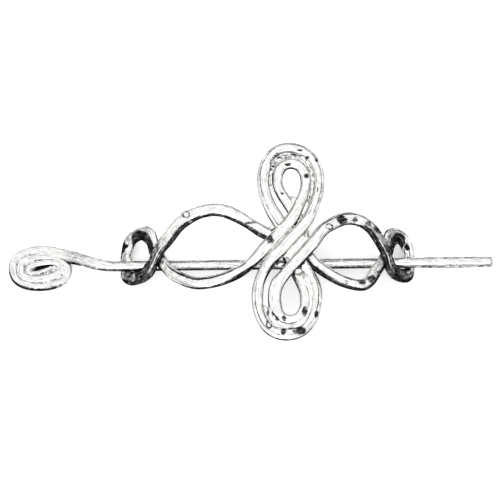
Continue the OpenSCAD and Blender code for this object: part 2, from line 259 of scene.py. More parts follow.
def path(table):
    """Evenly spaced points of a wire, with their distance along it and the station that each is at."""
    points, station = [], []
    for i in range(len(table) - 1):
        t = np.linspace(0, 1, FINE, endpoint=i == len(table) - 2)
        xy = plan_span(table[i], table[i + 1], t)
        level = table[i][3] + (table[i + 1][3] - table[i][3]) * ease(t)
        points.append(np.column_stack([xy, arch(xy[:, 0])[0] + level]))
        station.append(i + t)
    points, station = np.concatenate(points), np.concatenate(station)
    travelled = np.concatenate([[0], np.cumsum(np.linalg.norm(np.diff(points, axis=0), axis=1))])
    even = np.linspace(0, travelled[-1], max(8, round(travelled[-1] / STEP)))
    points = np.column_stack([np.interp(even, travelled, points[:, k]) for k in range(3)])
    return points, even, np.interp(even, travelled, station)


def unit(v):
    return v / np.linalg.norm(v, axis=-1, keepdims=True)


def frames(table, points):
    """At each point the directions along the wire, to its right, and out of its hammered face."""
    along = np.gradient(points, axis=0)
    for i, row in ((0, table[0]), (-1, table[-1])):
        c, s = math.cos(math.radians(row[2])), math.sin(math.radians(row[2]))
        along[i] = [c, s, arch(points[i][0])[1] * c]
    along = unit(along)
    slope = arch(points[:, 0])[1]
    up = unit(np.column_stack([-slope, np.zeros_like(slope), np.ones_like(slope)]))
    right = unit(np.cross(along, up))
    return along, right, np.cross(right, along)


# %% [markdown]
# ## The section of the wire
# Round wire that is hammered on an anvil gets a flat top, with a bevel along each edge where the
# hammer was tilted, and it keeps some of its roundness below. A bevel modifier would round every edge
# alike, so the section is drawn as an outline and swept along the path. Points are closest together
# at the two ridges, because a ridge shows as a fine line in the polished metal.

# %% Half of the outline, from the middle of the face round to the middle of the underside
HALF_TOP = [(0.0, 0.95), (0.18, 0.95), (0.36, 0.945), (0.52, 0.94), (0.62, 0.93), (0.68, 0.92),
            (0.73, 0.9), (0.79, 0.86), (0.9, 0.79), (1.02, 0.7), (1.14, 0.61), (1.24, 0.51),
            (1.32, 0.39), (1.37, 0.22)]
HALF_UNDER = [(1.375, -0.05), (1.35, -0.38), (1.24, -0.64), (1.0, -0.82), (0.6, -0.92), (0.0, -0.95)]
RIDGE, WIDE_RIDGE = 0.72, 0.38   # where the face ends and the bevel starts, from the wire's middle
half = HALF_TOP + HALF_UNDER
SECTION = np.array(half + [(-x, z) for x, z in reversed(half[1:-1])])
print(len(SECTION), "points round the wire")


def smooth(value, low, high):
    """0 below low, 1 above high, and an even rise between."""
    return ease(np.clip((value - low) / (high - low), 0, 1))


# %% [markdown]
# ## Hammer marks
# Each blow of a ball hammer leaves a shallow oval dish a little longer than the wire is wide, and the
# blows overlap. A noise texture gives lumps, not dishes, so the marks are made one by one: every mark
# has a place along the wire, and its depth falls off smoothly to its rim. They are pressed into the
# mesh itself, because a dish that big changes the outline too.

# %% Dishes along a wire, in millimetres
rng = random.Random(7)
BLOW_SPACING, BLOW_DEPTH, FIRST_BLOW, OFF_CENTRE = 2.1, 0.13, 1.2, 0.45
BLOW_HALF_LENGTHS, BLOW_HALF_WIDTHS = (0.9, 1.6), (0.6, 1.0)
LIGHTEST, HARDEST = 0.3, 1.2     # blows, as shares of the usual depth
CLOSEST, WIDEST = 0.6, 1.4       # gaps between blows, as shares of the usual spacing


def blows(length):
    """Hammer marks along a wire: [distance, offset to the right, half length, half width, depth]."""
    made, at = [], FIRST_BLOW
    while at < length - FIRST_BLOW:
        made.append([at, rng.uniform(-OFF_CENTRE, OFF_CENTRE), rng.uniform(*BLOW_HALF_LENGTHS),
                     rng.uniform(*BLOW_HALF_WIDTHS), BLOW_DEPTH * rng.uniform(LIGHTEST, HARDEST)])
        at += BLOW_SPACING * rng.uniform(CLOSEST, WIDEST)
    return made


def dish(distance, across, marks):
    """Depth of the marks at each point, given by its distance along the wire and its place across."""
    depth = np.zeros_like(distance)
    for s, a, half_length, half_width, deep in marks:
        r2 = ((distance - s) / half_length) ** 2 + ((across - a) / half_width) ** 2
        depth = np.maximum(depth, deep * np.clip(1 - r2, 0, 1) ** 1.5)
    return depth


print("a blow every", BLOW_SPACING, "mm, up to", round(BLOW_DEPTH * HARDEST, 2), "mm deep")

# %% [markdown]
# ## A wire as one mesh
# A wire could be a curve with a bevel object, but that keeps one section all the way and takes no
# dents. So it is a closed tube in mesh code: a ring of points at every step of the path, faces between
# neighbouring rings, and a fan at each end.
# Two values are stored with it. Tarnish and shade is the dark of the surface: black, and painted shade in
# part. Grain says where on the wire each place is, so that the streaks of the metal follow the wire round
# every bend, as drawn wire has them.

# %% A closed tube through rings of points
def grain_of(rings, start, strand):
    """[distance along the wire, distance round it, strand] in millimetres, for each corner of a face."""
    count, sides = rings.shape[:2]
    middle = rings[count // 2]
    arc = np.concatenate([[0], np.cumsum(np.linalg.norm(np.roll(middle, -1, 0) - middle, axis=1))])
    # The left half is measured backwards from the top, so that the values only jump underneath.
    turn_back = np.where(np.arange(sides) >= sides // 2, arc[-1], 0)
    low, high = arc[:-1] - turn_back, arc[1:] - turn_back
    steps = np.linalg.norm(np.diff(rings.mean(1), axis=0), axis=1)
    far = start + np.concatenate([[0], np.cumsum(steps)])
    around = np.concatenate([np.tile(np.stack([low, high, high, low], -1), (count - 1, 1)).ravel(),
                             np.stack([(low + high) / 2, high, low], -1).ravel(),
                             np.stack([(low + high) / 2, low, high], -1).ravel()])
    ahead = np.concatenate([
        np.repeat(np.stack([far[:-1], far[:-1], far[1:], far[1:]], -1), sides, 0).ravel(),
        np.tile([far[0] - 1, far[0], far[0]], sides), np.tile([far[-1] + 1, far[-1], far[-1]], sides)])
    return np.column_stack([ahead, around, np.full(len(around), strand)])


def tube(name, rings, tarnish_and_shade, start=0.0, strand=0.0):
    """A mesh through the rings, with a fan of triangles at each end.

    Tarnish with its painted shade, and grain, are stored on the corners of the faces, because there a
    union keeps them right up to its seams."""
    count, sides = rings.shape[:2]
    points = np.concatenate([rings.reshape(-1, 3), [rings[0].mean(0), rings[-1].mean(0)]])
    column = np.arange(sides)
    after = (column + 1) % sides
    row = np.arange(count - 1)[:, None] * sides
    quads = np.stack([row + column, row + after, row + sides + after, row + sides + column], -1)
    quads = quads.reshape(-1, 4)
    last, head, foot = (count - 1) * sides, count * sides, count * sides + 1
    caps = np.concatenate([np.stack([column * 0 + head, after, column], -1),
                           np.stack([column * 0 + foot, last + column, last + after], -1)])
    mesh = bpy.data.meshes.new(name)
    mesh.from_pydata((points * MM).tolist(), [], quads.tolist() + caps.tolist())
    dark = np.concatenate([tarnish_and_shade.ravel(), [tarnish_and_shade[0].mean(), tarnish_and_shade[-1].mean()]])
    dark = dark[np.concatenate([quads.ravel(), caps.ravel()])]
    for layer, kind, field, values in (
            ("tarnish_and_shade", "FLOAT", "value", dark),
            ("grain", "FLOAT_VECTOR", "vector", grain_of(rings, start, strand))):
        corners = mesh.attributes.new(layer, kind, "CORNER").data
        corners.foreach_set(field, values.astype(np.float32).ravel())
    obj = bpy.data.objects.new(name, mesh)
    bpy.context.scene.collection.objects.link(obj)
    return obj


# %% [markdown]
# ## Where the knot stands in the frame
# The stations are measured from the middle of the knot, and the frame's origin is somewhere else. The
# stick's free end is a place that both know, so the shift comes from its box in the frame. Reading it
# there is safer than typing it, because it follows the model if that is packed again.

# %% From the stations to the frame
TIP_REACH, STICK_Y, SHANK_R, FREE_END_R, SHANK_GAP = 53.0, -1.5, 1.2, 1.3, 0.3
MIDDLE_Y = -0.55
_, stick_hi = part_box("stick_pin")
shank_z = stick_hi.z / MM - FREE_END_R
ground = 2 * max(LEFT_LIMB_Z, RIGHT_LIMB_Z) + SHANK_GAP + SHANK_R - shank_z
SHIFT = np.array([stick_hi.x / MM - TIP_REACH, MIDDLE_Y, -ground])
print("the middle of the knot is at", SHIFT.round(2))

# %% [markdown]
# ## Where the hammer spread the wire
# A hammer widens wire as it flattens it, most where it struck most: round the two rings, in the lobes
# and where the wires cross. Scaling whole wires would show that nowhere. So each row names a place,
# how far it reaches, and by what share the left half and the right half of the wire grew. The reaches
# are long and soft, because short ones make the edges lumpy.

# %% Spreads: x, y, reach, and the growth of the left half and of the right half
SPREADS = [
    # The middle of the knot, and the left ring
    [1.0, -0.4, 14, 0.15, 0.15],
    [-38.9, 7.8, 5, 0.4, 0.4], [-38.6, -4.7, 4.5, 0.35, 0.35], [-42.6, 2.4, 5, 0, 0.5],
    # The left strand of the outer top loop, the bottom of the outer bottom loop, and the left strand
    # of the inner one
    [-6.7, 20.0, 4.2, 0.35, 0], [-6.1, 13.8, 4.2, 0.35, 0], [-3.6, 8.0, 4.2, 0.35, 0],
    [-0.9, -26.0, 4.5, 0, 0.5], [-3.7, -14.8, 6, 0, 0.5],
    # The left lobe, and the right lobe
    [-24.0, 9.4, 15, 0.26, 0.3], [-29.5, 6.2, 8, 0.2, 0.22], [-10.0, 7.0, 7, 0.1, 0.1],
    [-21.0, -10.0, 12, 0.45, 0],
    [19.5, 6.6, 12, 0.2, 0.32], [16.5, -11.0, 12, 0.3, 0],
    # The crossing beside the left ring, and the right ring
    [-34.8, -0.8, 5, 0, 0.3],
    [28.6, 6.2, 5, 0.4, 0.4], [28, -5, 4.5, 0.35, 0.3], [31.4, 2.6, 5, 0, 0.45]]


def spread(points, x, width):
    """The width of each ring, with the places added where the hammer spread the wire."""
    for spread_x, spread_y, reach, wider_left, wider_right in SPREADS:
        away = np.hypot(points[:, 0] - spread_x, points[:, 1] - spread_y)[:, None]
        width = width + np.where(x < 0, wider_left, wider_right) * (1 - smooth(away, reach / 2, reach))
    return width


print(len(SPREADS), "places where the wire is wider")


# %% Reading the tables along a wire
def between(rows, station, column):
    """A column of a table, between its rows."""
    value = np.array([row[column] for row in rows], float)
    i = np.clip(station.astype(int), 0, len(rows) - 2)
    return value[i] + (value[i + 1] - value[i]) * ease(station - i)


def bevelled(x, side):
    """The section's x, with the ridge moved inwards on the side that has the wide bevel."""
    ridge = RIDGE + (WIDE_RIDGE - RIDGE) * np.clip(side * np.sign(x), 0, 1)
    far, edge = np.abs(x), WIRE_W / 2
    bevel = ridge + (far - RIDGE) * (edge - ridge) / (edge - RIDGE)
    return np.sign(x) * np.where(far < RIDGE, far * ridge / RIDGE, bevel)


HIDDEN_BELOW = -0.3      # a wire at a lower level than this lies under another one


def owners(rows, spans):
    """Gives each pit or fleck to the nearest wire that isn't hidden under another one there."""
    owned = {name: [] for name in spans}
    for row in rows:
        gaps = {}
        for name, (table, _, (points, _, station)) in spans.items():
            gap = np.hypot(points[:, 0] - row[0], points[:, 1] - row[1])
            gaps[name] = np.where(between(table, station, 3) < HIDDEN_BELOW, np.inf, gap).min()
        owned[min(gaps, key=gaps.get)].append(row)
    return owned


PIT_CORE = 1.4               # over 1, so that a pit is evenly black well out from its middle
BRIGHT_MIDDLE = (0.1, 0.45)     # squared distances from the middle, as shares of the pit's size


def pitting(plan, rows):
    """How far each point lies in a pit: 0 outside, and the row's last value in its middle."""
    pitted = np.zeros(plan.shape[:-1])
    for x, y, half_x, half_y, deep in rows:
        r2 = ((plan[..., 0] - x) / half_x) ** 2 + ((plan[..., 1] - y) / half_y) ** 2
        centre = 1 if deep > 0 else smooth(r2, *BRIGHT_MIDDLE)
        pitted = np.maximum(pitted, abs(deep) * np.clip(PIT_CORE - r2, 0, 1) * centre)
    return pitted


def lumps_along(distance, per_mm, row):
    """Noise along a wire, with so many lumps a millimetre. Each row of it is different."""
    return np.array([noise(Vector((v * per_mm, row, 0))) for v in distance])[:, None]


# %% [markdown]
# ## One wire of the knot
# Now everything meets: the section is carried along the path, widened, dented and pitted, and each
# point gets its dark. The main wire is one closed loop in four spans, and the outer one is a loop in
# two. A span starts on the last ring of the one before it, so that the union finds no crack there.

# %% The dark of a wire's surface
# The walls' dark is black and painted shade. A ridge line above 0 is painted shade, and below 0 a painted
# highlight.
WALL_DARK, BLEND = 0.95, 0.1         # how dark a wall is, and the millimetres over which that ends
REACH_OVER, REACH_SOFT = 0.35, 0.25  # how far the darker wall reaches over the middle of the face
LINE_HALF_W, LINE_CORE = 0.12, 1.3   # the line on a ridge: its half width, and over 1 for a full middle
STRONG, STRONG_GROWS = 0.5, 0.25     # a line darker than this is broader too
FLECK_EDGE = (0.5, 1.4)              # a fleck is bright inside the first, and gone at the second
UNDERSIDE = 9                        # far from any fleck


def wire_dark(columns, x, z, plan, pitted, flecks):
    """The dark at each point, from the table's columns and from the pits and flecks."""
    left_wall, right_wall, face_dark, left_line, right_line = columns
    split = REACH_OVER * np.clip(left_wall - right_wall, -1, 1)
    beyond = smooth(x, split - REACH_SOFT, split + REACH_SOFT)
    edge = left_wall + (right_wall - left_wall) * beyond
    dark = np.maximum(WALL_DARK * (1 - smooth(z, edge - BLEND, edge + BLEND)), face_dark)
    for line, at in ((left_line, -RIDGE), (right_line, RIDGE)):
        broad = LINE_HALF_W + STRONG_GROWS * np.clip(line - STRONG, 0, 1)
        near = np.clip(LINE_CORE - np.abs(SECTION[:, 0] - at) / broad, 0, 1) * (z > 0.5)
        # Below 0 the line is a painted highlight along the ridge, finer than a dark line.
        dark = dark + line * np.where(line < 0, near ** 3, near)    # a worn ridge is finer than a line
    dark = np.clip(np.maximum(dark, pitted), 0, 1)
    for fleck_x, fleck_y, half_x, half_y in flecks:
        r2 = ((plan[..., 0] - fleck_x) / half_x) ** 2 + ((plan[..., 1] - fleck_y) / half_y) ** 2
        dark = dark * smooth(r2 + UNDERSIDE * (z < 0), *FLECK_EDGE)
    return dark


# %% The wires
UNEVEN, UNEVEN_PER_MM = 0.025, 0.45      # how much the width wanders, and how quickly
PLAIN_END = 1.0          # millimetres over which the marks fade at the ends of a span
STRAND_APART = 20.0      # the outer wire takes its streaks from another place in the noise


def wire(name, table, dark, found, pits, flecks, start, strand, first_ring=None):
    """One span of a wire as a tube, and its last ring."""
    points, distance, station = found
    _, right, face = frames(table, points)
    *columns, side = (between(dark, station, k)[:, None] for k in range(6))
    x, z = bevelled(SECTION[:, 0][None, :], side), SECTION[:, 1][None, :]
    ends = smooth(np.minimum(distance, distance[-1] - distance), 0, PLAIN_END)[:, None]
    on_top = smooth(z, 0.1, 0.8)
    depth = dish(np.repeat(distance[:, None], len(SECTION), 1), x, blows(distance[-1]))
    plan = points[:, None, :2] + x[..., None] * right[:, None, :2]
    pitted = pitting(plan, pits)
    depth = (depth + PIT_DEPTH * pitted) * on_top * ends
    width = spread(points, x, 1 + UNEVEN * lumps_along(distance, UNEVEN_PER_MM, 3.1 * len(table)) * ends)
    rings = (points[:, None, :] + (x * width)[..., None] * right[:, None, :]
             + (z - depth)[..., None] * face[:, None, :] + SHIFT)
    if first_ring is not None:
        rings[0] = first_ring
    tarnish_and_shade = wire_dark(columns, x, z, plan, PIT_DARK * pitted * on_top, flecks)
    return tube(name, rings, tarnish_and_shade, start, strand), rings[-1]


spans = {f"{wire_name}_{i}": (table, dark, path(table))
         for wire_name, pairs in (("main", MAIN_WIRE), ("outer", OUTER_WIRE))
         for i, (table, dark) in enumerate(pairs)}
pits, flecks = owners(PITS, spans), owners(FLECKS, spans)
strands, ring, travelled = [], None, 0.0
for name, (table, dark, found) in spans.items():
    if name.endswith("0"):
        ring, travelled = None, 0.0
    strand = STRAND_APART * name.startswith("outer")
    obj, ring = wire(name, table, dark, found, pits[name], flecks[name], travelled, strand, ring)
    length = found[1][-1]
    travelled += length
    strands.append(obj)
    print(name, round(length, 1), "mm of wire,", len(pits[name]), "pits")

# %% [markdown]
# ## Solder at the crossings
# Where two wires cross they are joined: by a small round bead between them, by solder that ran out
# along the groove, and by a few drops beside it. Each is a closed mesh that reaches into the wires, so
# that the union can make one skin of all of them. A metaball would round them too, but it can't be
# placed to a tenth of a millimetre. None of them was hammered, so they have no dishes.

# %% A bead between two crossed wires: x, y and radius
FUSED = [[1.2, 7.4, 1.4], [-1.3, 4, 1.4], [-4.1, 0.9, 1.4], [2.9, 3.6, 1.4], [0.4, 0.7, 1.4],
         [-2.1, -2.2, 1.4], [5, -1.6, 1.4], [2.8, -4.3, 1.4], [0.8, -6.7, 1.4], [-4.3, 4.3, 0.9],
         [-33.8, 0.5, 1.5], [25.3, -0.8, 1.5]]
BEAD_SIDES, BEAD_RINGS, BEAD_TAPER, BEAD_DARK = 20, 9, 0.45, 0.25
ROUND = np.arange(BEAD_SIDES) * 2 * math.pi / BEAD_SIDES


def bead(name, x, y, radius):
    """A barrel that stands on the arch, from the lower wire's level to the upper one's."""
    z, slope = (float(v) for v in arch(x))
    normal, across = unit(np.array([-slope, 0, 1.0])), unit(np.array([1.0, 0, slope]))
    circle = np.cos(ROUND)[:, None] * across + np.sin(ROUND)[:, None] * np.array([0, 1.0, 0])
    rings = [np.array([x, y, z]) + SHIFT + share * OVER * normal
             + radius * (1 - BEAD_TAPER * abs(share) ** 2) * circle
             for share in np.linspace(-1, 1, BEAD_RINGS)]
    return tube(name, np.array(rings), np.full((BEAD_RINGS, BEAD_SIDES), BEAD_DARK))


solder = [bead(f"bead_{i}", *row) for i, row in enumerate(FUSED)]
print(len(solder), "beads")

# %% Drops: x, y, the three half sizes, level, and how dark the painted shade round the waist is
DROPS = [[-2.4, 3.9, 0.85, 1.25, 1.0, 0.95, 0.9], [2.2, -8.2, 1.25, 0.95, 0.9, 0.3, 0.7],
         [-2.3, -6.1, 1.1, 0.7, 0.7, 0, 0.5]]
DROP_RINGS, POLE_GAP = 12, 0.12      # the rings stop short of the poles, and the end fans close them
# The drop's waist is painted shade, dark between these angles, and its top is left bright.
WAIST_SHADE_FROM, WAIST_SHADE_TO = (1.0, 1.3), (1.9, 2.2)    # radians from the foot, where the dark comes and goes


def drop(name, x, y, z, half_x, half_y, half_z, dark):
    """A rounded drop, with painted shade round its waist and bright metal on its top."""
    polar = np.linspace(POLE_GAP, math.pi - POLE_GAP, DROP_RINGS)
    rings = np.array([np.stack([x + half_x * math.sin(p) * np.cos(ROUND),
                                y + half_y * math.sin(p) * np.sin(ROUND),
                                np.full(BEAD_SIDES, z - half_z * math.cos(p))], -1) for p in polar])
    waist_shade = dark * smooth(polar, *WAIST_SHADE_FROM) * (1 - smooth(polar, *WAIST_SHADE_TO))
    return tube(name, rings + SHIFT, np.repeat(waist_shade[:, None], BEAD_SIDES, 1))


# %% Solder that ran in between the wires: from, to, half width, half height, level, dark
RUNS = [[-5.2, -3.3, 0.9, 4.4, 0.9, 0.8, 0.35, 0.5], [-0.4, -4.3, 4.3, 1.8, 1.5, 0.85, 0.25, 0.15],
        [1.2, 9.3, 1.8, 13.0, 1.1, 0.45, -0.1, 0.1]]
RUN_RINGS, RUN_LUMPS, RUN_HOLLOW = 31, 0.07, 0.5
RUN_BLUNT, RUN_TIP = 12, 0.1     # how blunt the ends are, and how little is left of them


def solder_run(name, x0, y0, x1, y1, half_w, half_h, level, dark):
    """A run of solder between two places, drawn up along the wires so that its ends are hollow."""
    turn = -ROUND            # backwards, so that the faces look outwards
    ahead = unit(np.array([x1 - x0, y1 - y0, 0.0]))
    beside = np.array([ahead[1], -ahead[0], 0])
    rings = []
    for share in np.linspace(0, 1, RUN_RINGS):
        swell = max(RUN_TIP, (1 - (2 * share - 1) ** RUN_BLUNT)) ** 0.5
        x, y = x0 + (x1 - x0) * share, y0 + (y1 - y0) * share
        lumps = RUN_LUMPS * noise(Vector((x, y, 2.0)))
        hollow = RUN_HOLLOW * (2 * share - 1) ** 3 * np.cos(turn)[:, None] ** 2
        rings.append(np.array([x, y, float(arch(x)[0]) + level + lumps]) + SHIFT + hollow * ahead
                     + half_w * np.cos(turn)[:, None] * beside
                     + swell * half_h * np.sin(turn)[:, None] * np.array([0, 0, 1.0]))
    return tube(name, np.array(rings), np.full((RUN_RINGS, BEAD_SIDES), dark))


# %% [markdown]
# ## Webs in the loops
# Around both loops the two wires lie side by side, and solder filled most of the groove between them.
# The web is a flat strip that follows the middle of the groove, lower than the wires and rougher. In
# the bottom loop a black line is left along its inner edge, too deep for the wheel.

# %% Stations of the webs, and their shape
TOP_WEB = [[5.0, 11.8, 70, 0.2], [6.4, 18.0, 90, 0], [0.55, 25.2, 180, 0], [-4.7, 18.8, 270, 0],
           [-4.5, 16.2, 278, 0]]
BOTTOM_WEB = [[4.2, -10.6, 292, -0.3], [5.45, -15.5, 270, 0], [-0.45, -23.6, 180, 0],
              [-5.4, -18.8, 106, 0]]
WEB_HALF_W, WEB_HALF_H, WEB_LUMPS = 1.15, 0.42, 0.09
WEB_HOLLOW = 1.8         # how far the ends are drawn up along the wires
GROOVE_AT, GROOVE_W = 0.6, 0.25      # the black line, as shares of the web's half width
GROOVE_CORE, LUMP_DARK = 1.2, 3  # how full the line's middle is, and how dark a lump of 1 mm would be


def web(name, table, level, dark, lines):
    """A strip of solder along a groove. Lines says how dark its inner edge is at each station."""
    points, _, station = path(table)
    along, right, face = frames(table, points)
    turn = -ROUND            # backwards, so that the faces look outwards
    x, z = WEB_HALF_W * np.cos(turn), WEB_HALF_H * signed_power(np.sin(turn), 0.5)
    lumps = np.array([[WEB_LUMPS * noise(Vector((*(p + a * r)[:2], 5.0)) * 1.6) for a in x]
                      for p, r in zip(points, right)])
    hollow = np.zeros((len(points), 1))
    hollow[0], hollow[-1] = WEB_HOLLOW, -WEB_HOLLOW
    rings = (points[:, None, :] + x[None, :, None] * right[:, None, :]
             + (level + z + lumps)[..., None] * face[:, None, :] + SHIFT
             - (hollow * (x / WEB_HALF_W) ** 2)[..., None] * along[:, None, :])
    spots = PIT_DARK * pitting(rings[..., :2] - SHIFT[:2], PITS)
    line = between([[value] for value in lines], station, 0)[:, None] * np.clip(
        GROOVE_CORE - np.abs(np.cos(turn) - GROOVE_AT) / GROOVE_W, 0, 1)
    return tube(name, rings, np.clip(np.maximum(dark + LUMP_DARK * lumps + line, spots), 0, 1))


# %% Webs, runs and drops
solder += [web("web_top", TOP_WEB, -0.05, 0.5, [0, 0, 0, 0, 0]),
           web("web_bottom", BOTTOM_WEB, 0.25, 0.2, [0, 0.4, 0.7, 1.1])]
solder += [solder_run(f"run_{i}", *row) for i, row in enumerate(RUNS)]
solder += [drop(f"drop_{i}", x, y, float(arch(x)[0]) + level, half_x, half_y, half_z, dark)
           for i, (x, y, half_x, half_y, half_z, level, dark) in enumerate(DROPS)]
print(len(solder), "pieces of solder")

# %% [markdown]
# ## One piece of metal
# The crossed wires are one piece. A Boolean union makes one skin of them and removes what lies inside,
# where a voxel remesh would melt the fine ridges. What is stored on the corners of the faces comes
# through the union right up to its seams, so the dark and the streaks stay where they belong.

# %% Union of closed meshes into one piece
def union(name, parts):
    others = bpy.data.collections.new(name + "_parts")
    bpy.context.scene.collection.children.link(others)
    for o in parts[1:]:
        bpy.context.scene.collection.objects.unlink(o)
        others.objects.link(o)
    join = parts[0].modifiers.new("union", "BOOLEAN")
    join.operation, join.solver = "UNION", "MANIFOLD"
    join.operand_type, join.collection = "COLLECTION", others
    mesh = bpy.data.meshes.new_from_object(
        parts[0].evaluated_get(bpy.context.evaluated_depsgraph_get()))
    mesh.name = name
    for o in parts:
        bpy.data.objects.remove(o)
    bpy.data.collections.remove(others)
    obj = bpy.data.objects.new(name, mesh)
    bpy.context.scene.collection.objects.link(obj)
    bm = bmesh.new()
    bm.from_mesh(mesh)
    open_edges = sum(not e.is_manifold for e in bm.edges)
    print(name, len(bm.faces), "faces,", len(bm.calc_loop_triangles()), "triangles,", open_edges,
          "open edges,", round(bm.calc_volume(signed=True) / MM ** 3, 1), "cubic mm")
    bm.free()
    return obj


CRISP = 38               # degrees


def shade(obj):
    """Smooth shading, with an edge kept crisp where the surface turns by more than that."""
    obj.data.shade_smooth()
    obj.data.set_sharp_from_angle(angle=math.radians(CRISP))


knot = union("knot", strands + solder)
shade(knot)
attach(knot, "knot")
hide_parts("knot_body")

# %% [markdown]
# ## The stick
# One length of round wire makes the whole stick: straight for most of its length, a little thicker at
# its blunt free end, then a neck that turns down, and a spiral that was coiled tightly and hammered
# flat. A cylinder with a flat disc would lose the way that the wire flows from one into the other, so
# it is one tube again, and its section changes from a circle to a flattened wire along the neck.

# %% The spiral in plan
HEAD_X, HEAD_Y, HEAD_START = -64.35, -0.5, 65.0
COIL_W, COIL_T, COIL_PITCH, COIL_REACH, COIL_STRETCH, COIL_TURNS = 2.0, 1.5, 1.98, 5.75, 2.6, 2.7
FRONT_FULLER, SLIT_LEAN = 1.08, 19.0
# How far the neck bends to the front of an even curve, as rows of [share of its length, millimetres]
NECK_BEND = [[0, 0], [0.15, 0], [0.56, 0.6], [0.74, 0.85], [1, 0.6]]
BEND_FADES = 45          # degrees of coiling over which that bend is taken back


def coil_point(turned):
    """Middle of the wire after that many degrees of coiling."""
    a = np.radians(HEAD_START + turned)
    r = COIL_REACH - COIL_PITCH * turned / 360
    stretch = COIL_STRETCH * np.cos(a) * (3 - np.cos(a) ** 2) / 2
    lean = np.radians(SLIT_LEAN) * np.clip(turned / (COIL_TURNS * 360), 0, 1) ** 2
    flatter = NECK_BEND[-1][1] * (1 - smooth(turned, 0, BEND_FADES))
    x = HEAD_X + stretch * np.cos(lean) + r * np.cos(a)
    y = HEAD_Y + stretch * np.sin(lean) + r * np.where(np.sin(a) < 0, FRONT_FULLER, 1) * np.sin(a)
    return np.stack([x, y - flatter], -1)


COIL_STEP = 3       # degrees
turned = np.arange(0, COIL_TURNS * 360 + 1, COIL_STEP)
coil_xy = coil_point(turned.astype(float))
print("the spiral is", (np.ptp(coil_xy, axis=0) + COIL_W).round(1), "mm")

# %% The free end, the shank and the neck
SHANK_START, FREE_END_L, FLARE, TIP_ROUND = -LEFT_SPAN - 2.9, 15.0, 3.0, 0.9
SHANK_STEP, NECK_POINTS = 0.5, 60
SINKS_LATE = 1.6         # over 1, so that the neck sinks to the table in its second half
FLARE_END = TIP_REACH - TIP_ROUND - FREE_END_L


def shank_radius(x):
    return SHANK_R + (FREE_END_R - SHANK_R) * smooth(x, FLARE_END - FLARE, FLARE_END)


tip_turn = np.radians(np.arange(0, 91, 15))
tip_x = TIP_REACH - TIP_ROUND + TIP_ROUND * np.cos(tip_turn)
tip_r = FREE_END_R - TIP_ROUND + TIP_ROUND * np.sin(tip_turn)
shank_x = np.arange(TIP_REACH - TIP_ROUND - SHANK_STEP, SHANK_START, -SHANK_STEP)
straight_x = np.concatenate([tip_x, shank_x])
straight = len(straight_x)

first_turn = coil_point(np.array([1.0]))[0] - coil_xy[0]
neck_end = [*coil_xy[0], math.degrees(math.atan2(first_turn[1], first_turn[0])), 0]
neck = np.linspace(0, 1, NECK_POINTS)
neck_xy = plan_span([SHANK_START, STICK_Y, 180, 0], neck_end, neck)
bend = np.array(NECK_BEND)
neck_xy[:, 1] -= np.interp(neck, bend[:, 0], bend[:, 1]) - NECK_BEND[-1][1] * ease(neck)
neck_z = shank_z + (COIL_T / 2 - shank_z) * ease(neck ** SINKS_LATE)
coil_count = len(coil_xy) - 1
stick_line = np.concatenate([
    np.column_stack([straight_x, np.full(straight, STICK_Y), np.full(straight, shank_z)]),
    np.column_stack([neck_xy, neck_z]), np.column_stack([coil_xy[1:], np.full(coil_count, COIL_T / 2)])])
distance = np.concatenate([[0], np.cumsum(np.linalg.norm(np.diff(stick_line, axis=0), axis=1))])
print("stick:", round(distance[-1], 1), "mm of wire,", coil_count, "rings in the spiral")

# %% How wide and how thick the stick is along its line
SHANK_WIDER, SHANK_BACK = 1.12, 0.13     # the shank is a little oval, and its front stays where it was
NECK_HALF_WIDTHS = [[0, 1.34], [0.17, 1.5], [0.55, 1.6], [0.75, 1.75], [1, 1.45]]
COIL_TAPER, COIL_SQUARENESS = 0.5, 0.55
WIDTH_FADES = 60         # degrees of coiling over which the neck's width goes over into the coil's
flat = np.concatenate([np.zeros(straight), neck, np.ones(coil_count)])
turns_left = (turned[-1] - turned[1:]) / 360
taper = np.concatenate([np.ones(straight + NECK_POINTS),
                        COIL_TAPER + (1 - COIL_TAPER) * np.clip(turns_left, 0, 1)])
round_r = np.concatenate([tip_r, shank_radius(shank_x), np.full(NECK_POINTS + coil_count, SHANK_R)])
beaten = np.array(NECK_HALF_WIDTHS)
half_w = np.concatenate([
    SHANK_WIDER * round_r[:straight], np.interp(neck, beaten[:, 0], beaten[:, 1]),
    COIL_W / 2 + (NECK_HALF_WIDTHS[-1][1] - COIL_W / 2) * (1 - smooth(turned[1:], 0, WIDTH_FADES))]) * taper
half_t = round_r + (COIL_T / 2 - round_r) * flat
print("half widths from", half_w.min().round(2), "to", half_w.max().round(2), "mm")

# %% Rings along the stick
STICK_SIDES, SOFTER_BLOWS, FIRST_MARK = 32, 0.6, 6
section_turn = math.pi / 2 - (np.arange(STICK_SIDES) + 0.5) * 2 * math.pi / STICK_SIDES
power = (1 + (COIL_SQUARENESS - 1) * flat)[:, None]
sx = half_w[:, None] * np.sign(np.cos(section_turn)) * np.abs(np.cos(section_turn)) ** power
sz = half_t[:, None] * np.sign(np.sin(section_turn)) * np.abs(np.sin(section_turn)) ** power
along = np.gradient(stick_line, axis=0)
along[:straight] = [-1, 0, 0]
along = unit(along)
right = unit(np.cross(along, [0, 0, 1.0]))
up = np.cross(right, along)
marks = [m for m in blows(distance[-1]) if m[0] > distance[straight] + FIRST_MARK]
height, across = sz / half_t[:, None], sx / half_w[:, None]
depth = dish(np.repeat(distance[:, None], STICK_SIDES, 1), sx, marks) * smooth(height, 0.2, 0.9)
stick_rings = (stick_line[:, None, :] + sx[..., None] * right[:, None, :]
               + (sz - SOFTER_BLOWS * depth)[..., None] * up[:, None, :])
stick_rings = stick_rings + np.array([SHIFT[0], SHIFT[1] + SHANK_BACK, 0])
print(len(marks), "hammer marks on the neck and the head")
